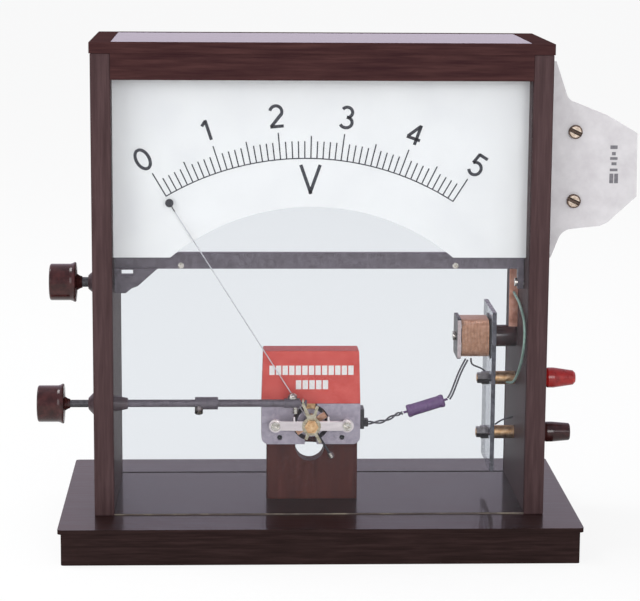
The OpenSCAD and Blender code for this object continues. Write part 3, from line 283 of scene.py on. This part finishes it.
# Old screws of the dial's tab: the middles of the faces bright, rims, sides and slots dark brown
bright_steel = finish(
    "bright steel", ["#8f7f70", "#b0a192", "#cdc1b5"],
    patch=1.8, rough=(0.3, 0.45), grit=0.4, depth=0.006, even={"Metallic": 0.8})
dark_brown_steel = finish(
    "dark brown steel", ["#42342d", "#57463c", "#6d5a4d"],
    patch=1.2, rough=(0.5, 0.62), grit=0.4, depth=0.01, even={"Metallic": 0.5})
# Terminal nuts whose nickel has gone grey
tarnished_nickel = finish(
    "tarnished nickel", ["#6d6c6a", "#858481", "#9c9b97"],
    patch=1.6, rough=(0.3, 0.44), grit=0.3, depth=0.005, even={"Metallic": 1.0})
# Hardened steel pivots, blue grey and polished
pivot_steel = finish(
    "polished steel", ["#80828a", "#9a9ca3"],
    patch=1.5, rough=(0.16, 0.26), grit=0.3, depth=0.003, even={"Metallic": 1.0})
# Blacked steel screws: nearly black, with a satin skin of oil
blacked_steel = finish(
    "blacked steel", ["#17171a", "#252528"],
    patch=1.5, rough=(0.4, 0.55), grit=0.4, depth=0.008, even={"Metallic": 0.5})
# Moulded phenolic, dark brown with faint marbling and a hard gloss
phenolic = finish(
    "moulded phenolic", ["#291211", "#361918", "#432120"],
    patch=5, rough=(0.14, 0.22), grit=1.2, depth=0.005, even={"Specular IOR Level": 0.35})
# The wall bushes are of the same moulding, dull and greyer
dull_phenolic = finish(
    "dull phenolic", ["#3a2c30", "#46373b", "#534347"],
    patch=4, rough=(0.4, 0.55), grit=0.8, depth=0.008)
# Moulded black plastic with a satin skin
black_plastic = finish(
    "moulded black plastic", ["#121113", "#1c1a1c", "#272427"],
    patch=3, rough=(0.34, 0.48), grit=0.5, depth=0.008)
# Cut edge of the bobbin's pressboard cheeks: pale and fibrous, and lightened as a painted
# highlight;
# only the left cheek's front takes it
pressboard_edge_highlight = finish(
    "cheek edge in painted highlight", ["#b3a0a0", "#c6b4b3", "#d4c6c4"],
    patch=1.5, rough=(0.6, 0.75), grit=0.5, depth=0.03)
# Moulded red plastic, glossy
red_plastic = finish(
    "moulded red plastic", ["#880f0d", "#9c1512", "#ac1d19"],
    patch=5, rough=(0.24, 0.36), grit=0.8, depth=0.006)
# Stoved enamel on steel rod and bar: grey with a violet cast, chalky in patches
grey_enamel = finish(
    "stoved grey enamel", ["#4c444a", "#5b535b", "#696169"],
    patch=4, rough=(0.36, 0.5), grit=0.6, depth=0.012)
# Bare steel of the spindles outside the case, darkened by handling
handled_steel = finish(
    "handled steel", ["#3b3b3e", "#49494c", "#59595c"],
    patch=2.5, rough=(0.34, 0.48), grit=0.4, depth=0.006, even={"Metallic": 0.6})
# Varnished cloth sleeve over the resistor: purple and matt, with the weave showing
purple_sleeve = finish(
    "varnished cloth sleeve", ["#50365f", "#664873", "#7c5d8a"],
    patch=1.6, rough=(0.42, 0.6), grit=0.7, depth=0.04)
# Rubber and cotton covered leads: matt and slightly mottled
dark_lead = finish(
    "dark lead covering", ["#3f3c42", "#504d55", "#625f68"],
    patch=1.2, rough=(0.55, 0.7), grit=0.5, depth=0.02)
green_lead = finish(
    "green lead covering", ["#7d9a8b", "#94b0a2", "#aac3b6"],
    patch=1.5, rough=(0.5, 0.66), grit=0.5, depth=0.02)
# Blacked disc at the pointer's tip: matt, so that it reads against the dial
pointer_black = finish(
    "blacked aluminium", ["#2b2a2d", "#3a393d"],
    patch=2, rough=(0.5, 0.62), grit=0.4, depth=0.005, even={"Metallic": 0.3})
# The pointer's thin tube, left bright
drawn_aluminium = finish(
    "drawn aluminium", ["#c2c2c4", "#d0d0d2", "#dcdcde"],
    patch=3, rough=(0.4, 0.52), grit=0.4, depth=0.003, stretch=(1, 1, 8), even={"Metallic": 0.4})
# Screen printed ink, matt and slightly uneven; on the tab it is rubbed to grey
INK = {"patch": 1.5, "grit": 0.4, "depth": 0.004}
black_ink = finish("black printing ink", ["#2f2f34", "#3c3c42"], rough=(0.6, 0.75), **INK)
rubbed_ink = finish("rubbed printing ink", ["#646267", "#78767b"], rough=(0.6, 0.75), **INK)
white_ink = finish("white printing ink", ["#e3ddd8", "#f0ebe7"], rough=(0.55, 0.7), **INK)

# The pieces that each finish coats
DRESS = {
    polished_mahogany: ["base"],
    frame_mahogany: ["top_frame"],
    lit_upright_mahogany: ["left_wall", "right_wall"],
    oiled_mahogany: ["pillar"],
    window_glass: ["front_pane", "rear_pane"],
    dusty_glass: ["top_panel"],
    cast_acrylic: ["multiplier_board"],
    opal_sheet: ["dial_plate"],
    black_ink: ["dial_marks"],
    red_enamel: ["magnet"],
    zinc_iron: ["left_pole", "right_pole", "iron_core"],
    turned_brass: ["jewel_screws", "core_support", "terminal_studs", "terminal_spacers"],
    silvered_brass: ["zero_arm"],
    spring_bronze: ["front_hairspring", "rear_hairspring"],
    milled_aluminium: ["front_bridge", "rear_bridge", "coil_former"],
    enamelled_wire: ["bobbin_winding", "coil_winding"],
    copper_sheet: ["copper_strip"],
    nickel_plate: ["bar_pivot_pin", "bridge_screws", "bobbin_screw", "rod_end_screw",
                   "coupling_screw", "bar_screws", "red_washer", "black_washer", "counterweight"],
    tarnished_nickel: ["terminal_nuts"],
    bright_steel: ["dial_screws"],
    pivot_steel: ["pivot_staffs"],
    blacked_steel: ["pole_screws"],
    phenolic: ["zero_knob", "clamp_knob", "board_spacer", "black_cap"],
    dull_phenolic: ["wall_bushes"],
    black_plastic: ["tag_strip", "bobbin", "terminal_collars"],
    red_plastic: ["red_cap"],
    grey_enamel: ["rod_end", "zero_rod", "rod_coupling", "clamp_bar"],
    handled_steel: ["clamp_spindle"],
    purple_sleeve: ["swamp_resistor"],
    dark_lead: ["dark_leads"],
    green_lead: ["green_lead"],
    pointer_black: ["pointer", "pointer_boss"],
}
coat_of = {node: coat for coat, dressed in DRESS.items() for node in dressed}
for node, coat in coat_of.items():
    nodes[node].data.materials.clear()
    nodes[node].data.materials.append(coat)

# Faces that meet at more than this angle meet in a sharp edge
SHARP = math.radians(32)


def piece(name, bm, coat, body):
    """A new piece of the meter from its mesh, in its coat, that moves with a body."""
    mesh = bpy.data.meshes.new(name)
    bm.to_mesh(mesh)
    bm.free()
    mesh.shade_smooth()
    mesh.set_sharp_from_angle(angle=SHARP)
    mesh.materials.append(coat)
    made = bpy.data.objects.new(name, mesh)
    bpy.context.scene.collection.objects.link(made)
    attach(made, body)
    return made


# Pivot of the pointer, the way that the pointer lies from it, and how far along the pointer the
# disc of its tip begins
PIVOT_X, PIVOT_Z = -5.5, 82.5
POINTER_LEAN = math.radians(32.2)
POINTER_X, POINTER_Z = -math.sin(POINTER_LEAN), math.cos(POINTER_LEAN)
TIP_FROM = 170.2
TIP_X, TIP_Z = PIVOT_X + TIP_FROM * POINTER_X, PIVOT_Z + TIP_FROM * POINTER_Z
# X from which the dial's tab is handled, and Z up to which the front pane's ground foot shows
TAB_FROM = 150.4
PANE_FOOT = 25.3
# X of the bobbin's middle and of the left wall's outer face, and Y of the tab screws' faces
BOBBIN_MID = sum(c.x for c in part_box("bobbin")) / 2 / MM
WALL_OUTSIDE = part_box("left_wall")[0].x / MM
SCREW_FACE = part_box("dial_screws")[0].y / MM
# Where a piece's faces are parted for two coats: a point and the direction of the cut
CUTS = {"dial_plate": ((TAB_FROM, 0, 0), (1, 0, 0)),
        "front_pane": ((0, 0, PANE_FOOT), (0, 0, 1)),
        "zero_rod": ((WALL_OUTSIDE, 0, 0), (1, 0, 0)),
        "pointer": ((TIP_X, 0, TIP_Z), (POINTER_X, 0, POINTER_Z))}
# Screws whose faces are bright inside a dark brown rim: the rim's width
RIMS = {"dial_screws": 0.9}
# A screw's face is what lies this near to its front and looks forward by this share
FACE_DEPTH, FACE_AHEAD = 0.2, 0.95
# Corners nearer than this are one, faces this near to flat are one face, a cut takes up corners
# this near to it, and edges shorter than this are slivers
SAME_CORNER, SAME_FACE, CUT_WITHIN, SLIVER = 0.002, math.radians(0.8), 0.001, 0.005
# An edge is eased if it is longer than this many of its radii, in this many steps
LONG_EDGE, EASE_STEPS = 3, 2


def eased(node, radius):
    """A node's own solid with its long sharp edges eased, as sanding, filing or a mould leaves
    them. With no radius it is only parted for a second coat."""
    bm = bmesh.new()
    bm.from_mesh(nodes[node].data)
    bmesh.ops.remove_doubles(bm, verts=bm.verts, dist=SAME_CORNER * MM)
    bmesh.ops.dissolve_limit(bm, angle_limit=SAME_FACE, verts=bm.verts, edges=bm.edges)
    if node in CUTS:
        at, way = CUTS[node]
        bmesh.ops.bisect_plane(bm, geom=bm.verts[:] + bm.edges[:] + bm.faces[:],
                               dist=CUT_WITHIN * MM, plane_co=Vector(at) * MM, plane_no=way)
    if node in RIMS:
        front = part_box(node)[0].y
        heads = [f for f in bm.faces if f.normal.y < -FACE_AHEAD
                 and f.calc_center_median().y < front + FACE_DEPTH * MM]
        inset = bmesh.ops.inset_region(bm, faces=heads, thickness=RIMS[node] * MM,
                                       use_even_offset=True)
        for rim in inset["faces"]:
            rim.material_index = 1
    sharp = [e for e in bm.edges if len(e.link_faces) == 2 and e.calc_face_angle(0) > SHARP
             and e.calc_length() > LONG_EDGE * radius * MM]
    if sharp and radius:
        bmesh.ops.bevel(bm, geom=sharp, offset=radius * MM, segments=EASE_STEPS, profile=0.5,
                        affect="EDGES", clamp_overlap=True)
        bmesh.ops.dissolve_degenerate(bm, dist=SLIVER * MM, edges=bm.edges)
    made = piece(node + "_finished", bm, coat_of[node], body_of[node])
    flat = made.modifiers.new("flat faces stay flat", "WEIGHTED_NORMAL")
    flat.keep_sharp = True
    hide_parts(node)
    return made


def second_coat(made, coat, chosen):
    """Gives another coat to the faces of a piece that are chosen by their middle and direction."""
    made.data.materials.append(coat)
    for face in made.data.polygons:
        if chosen(face.center / MM, face.normal):
            face.material_index = 1


# Edge radius of each piece that is worked by hand or moulded
EDGES = {"base": 0.8, "left_wall": 0.7, "right_wall": 0.7, "top_frame": 0.6, "pillar": 0.6,
         "magnet": 0.8, "left_pole": 0.4, "right_pole": 0.4, "dial_plate": 0.3, "clamp_bar": 0.4,
         "bobbin": 0.3, "copper_strip": 0.15, "tag_strip": 0.3, "front_bridge": 0.15,
         "zero_arm": 0.1}
BOARD_EDGE = 0.2
worked = {node: eased(node, radius) for node, radius in EDGES.items()}

# Least share of its direction along an axis that makes a face the side of the clear board, the
# level top or underside of the base, the front edge of the bobbin's cheek, the front of the pane
BOARD_SIDE, BASE_LEVEL, CHEEK_FRONT, PANE_FRONT = 0.9, 0.5, 0.7, 0.9
second_coat(eased("pointer", 0), drawn_aluminium,
            lambda at, way: math.hypot(at.x - PIVOT_X, at.z - PIVOT_Z) < TIP_FROM)
# The board's sides are painted dark grey: painted shade
second_coat(eased("multiplier_board", BOARD_EDGE), shaded_acrylic_edge,
            lambda at, way: abs(way.x) < BOARD_SIDE)
second_coat(worked["dial_plate"], handled_opal, lambda at, way: at.x > TAB_FROM)
# The base's upright faces take the darker plinth tones: painted shade
second_coat(worked["base"], shaded_plinth_mahogany, lambda at, way: abs(way.z) < BASE_LEVEL)
# Only the left cheek's front edge is painted pale: partly its own colour, partly painted highlight
second_coat(worked["bobbin"], pressboard_edge_highlight,
            lambda at, way: way.y < -CHEEK_FRONT and at.x < BOBBIN_MID)
# The front pane's foot is painted pale in patches: painted highlight
second_coat(eased("front_pane", 0), pane_foot_highlight,
            lambda at, way: at.z < PANE_FOOT and way.y < -PANE_FRONT)
second_coat(eased("dial_screws", 0), dark_brown_steel,
            lambda at, way: at.y > SCREW_FACE + FACE_DEPTH or way.y > -FACE_AHEAD)
second_coat(eased("zero_rod", 0), handled_steel, lambda at, way: at.x < WALL_OUTSIDE)

# Thickness of the print, and the least cosine by which a bend of a stroke is widened
PRINT_T = 0.12
BEND_LEAST = 0.6


def ribbon(bm, line, width, front):
    """A flat stroke of ink along a line of X and Z points, standing on the plane Y = front."""
    rims = []
    last = len(line) - 1
    for i, (x, z) in enumerate(line):
        before, after = line[max(i - 1, 0)], line[min(i + 1, last)]
        run = Vector((after[0] - before[0], after[1] - before[1])).normalized()
        into = Vector((x - before[0], z - before[1])).normalized() if i else run
        half = width / 2 / max(abs(run.dot(into)), BEND_LEAST)
        side = Vector((-run.y, run.x)) * half
        corners = ((1, front - PRINT_T), (-1, front - PRINT_T), (-1, front), (1, front))
        rims.append([bm.verts.new(Vector((x + s * side.x, y, z + s * side.y)) * MM)
                     for s, y in corners])
    for a, b in zip(rims, rims[1:]):
        for k in range(4):
            bm.faces.new((a[k], a[(k + 1) % 4], b[(k + 1) % 4], b[k]))
    bm.faces.new(rims[0][::-1])
    bm.faces.new(rims[-1])


def bow(x, z, rx, rz, start, end, steps=14):
    """Points of an arc, in degrees from +X towards +Z."""
    angles = [math.radians(start + (end - start) * i / steps) for i in range(steps + 1)]
    return [(x + rx * math.cos(a), z + rz * math.sin(a)) for a in angles]


# Strokes of the scale's figures 0 to 5, one unit high, as drawn with a lettering pen
FIGURES = [
    [bow(0, 0.5, 0.31, 0.5, 90, 450, 28)],
    [[(0.06, 0), (0.06, 1)], [(0.06, 0.96), (-0.18, 0.76)]],
    [bow(0, 0.71, 0.29, 0.29, 165, -25) + [(-0.3, 0.0)], [(-0.33, 0), (0.32, 0)]],
    [bow(-0.01, 0.75, 0.26, 0.25, 150, -85), bow(-0.01, 0.26, 0.3, 0.26, 88, -150)],
    [[(0.15, 0), (0.15, 1)], [(0.15, 0.97), (-0.3, 0.3)], [(-0.34, 0.28), (0.34, 0.28)]],
    [[(0.28, 1), (-0.2, 1)], [(-0.18, 1.03), (-0.24, 0.5)],
     bow(-0.01, 0.31, 0.3, 0.31, 140, -145)],
]
# Height of the figures, radius of the arc through their middles, and width of their strokes
FIGURE_H, FIGURE_R, FIGURE_PEN = 13.6, 210.0, 2.1
# Middle of that arc, half of the angle that it spans and how far it is turned to the right
PRINT_X, PRINT_Z, PRINT_HALF, PRINT_TURN = -9.7, 80.4, 31.7, 0.9
# The V: its middle, half its width, foot, top, how far its strokes cross, and their width
V_MID, V_HALF, V_FOOT, V_TOP, V_CROSS, V_PEN = -6.9, 6.4, 238.2, 257.4, 0.4, 2.2
DIAL_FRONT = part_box("dial_plate")[0].y / MM
MAGNET_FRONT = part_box("magnet")[0].y / MM


def scale_figures():
    """The figures 0 to 5 round the scale, each turned with the arc, and the V under it."""
    bm = bmesh.new()
    for value, strokes in enumerate(FIGURES):
        lean = math.radians(PRINT_TURN - PRINT_HALF + 2 * PRINT_HALF * value / (len(FIGURES) - 1))
        for stroke in strokes:
            line = []
            for x, z in stroke:
                across, out = x * FIGURE_H, FIGURE_R + (z - 0.5) * FIGURE_H
                line.append((PRINT_X + out * math.sin(lean) + across * math.cos(lean),
                             PRINT_Z + out * math.cos(lean) - across * math.sin(lean)))
            ribbon(bm, line, FIGURE_PEN, DIAL_FRONT)
    ribbon(bm, [(V_MID - V_HALF, V_TOP), (V_MID + V_CROSS, V_FOOT)], V_PEN, DIAL_FRONT)
    ribbon(bm, [(V_MID + V_HALF, V_TOP), (V_MID - V_CROSS, V_FOOT)], V_PEN, DIAL_FRONT)
    piece("scale_figures", bm, black_ink, "dial")


# Rows of plain blocks that stand for printed words: X of a row's ends, Z of its foot and top, and
# how many blocks it has. A block fills this share of its place in the row.
MAGNET_ROWS = [(-34.0, 23.4, 115.4, 121.8, 13), (-16.2, 6.4, 105.6, 111.8, 5)]
TAB_ROWS = [(191.0, 197.0, 268.4, 270.8, 1), (192.4, 195.6, 264.2, 266.4, 1),
            (191.0, 197.2, 261.2, 263.0, 1), (192.2, 196.4, 257.6, 259.6, 1),
            (191.0, 197.4, 253.6, 255.4, 1), (191.2, 197.6, 245.6, 252.0, 2)]
BLOCK_SHARE = 0.8


def plain_blocks(name, rows, front, coat, body):
    """Rows of plain printed blocks on the plane Y = front."""
    bm = bmesh.new()
    for x0, x1, z0, z1, count in rows:
        pitch = (x1 - x0) / count
        for i in range(count):
            middle = x0 + (i + 0.5) * pitch
            ribbon(bm, [(middle, z0), (middle, z1)], BLOCK_SHARE * pitch, front)
    piece(name, bm, coat, body)


scale_figures()
plain_blocks("magnet_print", MAGNET_ROWS, MAGNET_FRONT, white_ink, "case")
plain_blocks("tab_print", TAB_ROWS, DIAL_FRONT, rubbed_ink, "dial")

# Radius of the bobbin's wire (drawn coarser than the real 0.3 mm wire so that it shows) and of
# the bends at the former's corners, the steps in a bend and the sides of the wire
WIRE_R, BEND_R = 0.5 * MM, 5.5 * MM
BEND_STEPS, WIRE_SIDES = 6, 6


def bobbin_turns():
    """The bobbin's wire, turn beside turn, on a former with rounded corners."""
    low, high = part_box("bobbin_winding")
    turns = int((high.x - low.x) / (2 * WIRE_R))
    mid_y, mid_z = (low.y + high.y) / 2, (low.z + high.z) / 2
    flat = (high.y - low.y) / 2 - WIRE_R - BEND_R
    loop = []
    for quarter, (out_y, out_z) in enumerate(((1, 1), (-1, 1), (-1, -1), (1, -1))):
        for i in range(BEND_STEPS + 1):
            a = math.radians(90 * (quarter + i / BEND_STEPS))
            loop.append((mid_y + out_y * flat + BEND_R * math.cos(a),
                         mid_z + out_z * flat + BEND_R * math.sin(a)))
    round_wire = [2 * math.pi * k / WIRE_SIDES for k in range(WIRE_SIDES)]
    bm = bmesh.new()
    rings = []
    for turn in range(turns):
        for i, (y, z) in enumerate(loop):
            x = low.x + WIRE_R + 2 * WIRE_R * (turn + i / len(loop))
            if x > high.x - WIRE_R:
                break
            here = Vector((0, y - mid_y, z - mid_z)).normalized()
            rings.append([bm.verts.new((x + WIRE_R * math.sin(a),
                                        y + here.y * WIRE_R * math.cos(a),
                                        z + here.z * WIRE_R * math.cos(a))) for a in round_wire])
    for a, b in zip(rings, rings[1:]):
        for k in range(WIRE_SIDES):
            after = (k + 1) % WIRE_SIDES
            bm.faces.new((a[k], b[k], b[after], a[after]))
    bm.faces.new(rings[0])
    bm.faces.new(rings[-1][::-1])
    bmesh.ops.recalc_face_normals(bm, faces=bm.faces)
    made = piece("bobbin_turns", bm, enamelled_wire, "case")
    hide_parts("bobbin_winding")


bobbin_turns()

# Half the floor's width, and the share of it that shines white to the eye and in mirrors
FLOOR_HALF_M, FLOOR_LIFT = 40.0, 0.86


def make_floor():
    """A pale floor that reads white to the eye and in reflections, and keeps the shadow."""
    bm = bmesh.new()
    bmesh.ops.create_grid(bm, x_segments=8, y_segments=8, size=FLOOR_HALF_M)
    mesh = bpy.data.meshes.new("floor")
    bm.to_mesh(mesh)
    bm.free()
    floor = bpy.data.objects.new("floor", mesh)
    bpy.context.scene.collection.objects.link(floor)
    mat, tree, paint = plain_material("pale floor")
    paint.inputs["Base Color"].default_value = linear("#f2f2f2")
    paint.inputs["Roughness"].default_value = 0.9
    paint.inputs["Specular IOR Level"].default_value = 0.0
    path = put(tree, "ShaderNodeLightPath", {}, {})
    seen = put(tree, "ShaderNodeMath", {"operation": "ADD"},
               {0: path.outputs["Is Camera Ray"], 1: path.outputs["Is Glossy Ray"]})
    share = put(tree, "ShaderNodeMath", {"operation": "ADD", "use_clamp": True},
                {0: path.outputs["Is Transmission Ray"], 1: seen})
    lift = put(tree, "ShaderNodeMath", {"operation": "MULTIPLY"}, {0: share, 1: FLOOR_LIFT})
    white = put(tree, "ShaderNodeEmission", {}, {"Color": linear("#ffffff"), "Strength": 1.0})
    both = put(tree, "ShaderNodeMixShader", {}, {0: lift, 1: paint, 2: white})
    tree.links.new(both.outputs[0], tree.nodes["Material Output"].inputs["Surface"])
    mesh.materials.append(mat)


# Strength of the soft light, and of what mirrors see in front and behind. The one passes into the
# other between these two values of the direction's Y.
SOFT_LIGHT, MIRRORED_FRONT, MIRRORED_BACK = 0.7, 0.7, 1.0
FRONT_Y, BACK_Y = -0.5, 0.4


def make_world():
    """Soft light from all round. The eye sees it white; mirrors see it lilac, greyer in front."""
    world = bpy.data.worlds.new("studio")
    bpy.context.scene.world = world
    world.use_nodes = True
    tree = world.node_tree
    path = put(tree, "ShaderNodeLightPath", {}, {})
    soft = tree.nodes["Background"]
    soft.inputs["Color"].default_value = linear("#f6f7fa")
    soft.inputs["Strength"].default_value = SOFT_LIGHT
    white = put(tree, "ShaderNodeBackground", {}, {"Color": linear("#ffffff"), "Strength": 1.0})
    seen = put(tree, "ShaderNodeMath", {"operation": "ADD", "use_clamp": True},
               {0: path.outputs["Is Camera Ray"], 1: path.outputs["Is Transmission Ray"]})
    there = put(tree, "ShaderNodeTexCoord", {}, {})
    way = put(tree, "ShaderNodeSeparateXYZ", {}, {0: there.outputs["Generated"]})
    backdrop = put(tree, "ShaderNodeMapRange", {},
                   {"Value": way.outputs["Y"], "From Min": FRONT_Y, "From Max": BACK_Y,
                    "To Min": MIRRORED_FRONT, "To Max": MIRRORED_BACK})
    mirrored = put(tree, "ShaderNodeBackground", {},
                   {"Color": linear("#f1e5f6"), "Strength": backdrop})
    unseen = put(tree, "ShaderNodeMixShader", {},
                 {0: path.outputs["Is Glossy Ray"], 1: soft, 2: mirrored})
    both = put(tree, "ShaderNodeMixShader", {}, {0: seen, 1: unseen, 2: white})
    tree.links.new(both.outputs[0], tree.nodes["World Output"].inputs["Surface"])


# Middle of the meter, at which the lamps are turned, in metres
AIM_M = (0, 0, 0.17)


def make_lamp(name, at_m, size_m, watts):
    """A round soft box turned towards the middle of the meter."""
    lamp = bpy.data.lights.new(name, "AREA")
    lamp.shape, lamp.size, lamp.energy = "DISK", size_m, watts
    holder = bpy.data.objects.new(name, lamp)
    holder.location = at_m
    aim = Vector(AIM_M) - Vector(at_m)
    holder.rotation_euler = aim.to_track_quat("-Z", "Y").to_euler()
    bpy.context.scene.collection.objects.link(holder)


make_floor()
make_world()
make_lamp("key", at_m=(0.45, -2.2, 0.75), size_m=0.9, watts=17)
make_lamp("fill", at_m=(-1.5, -1.7, 0.8), size_m=1.2, watts=10.5)
make_lamp("top", at_m=(-0.9, 0.2, 1.7), size_m=0.8, watts=16)
bpy.context.scene.view_settings.view_transform = "Standard"
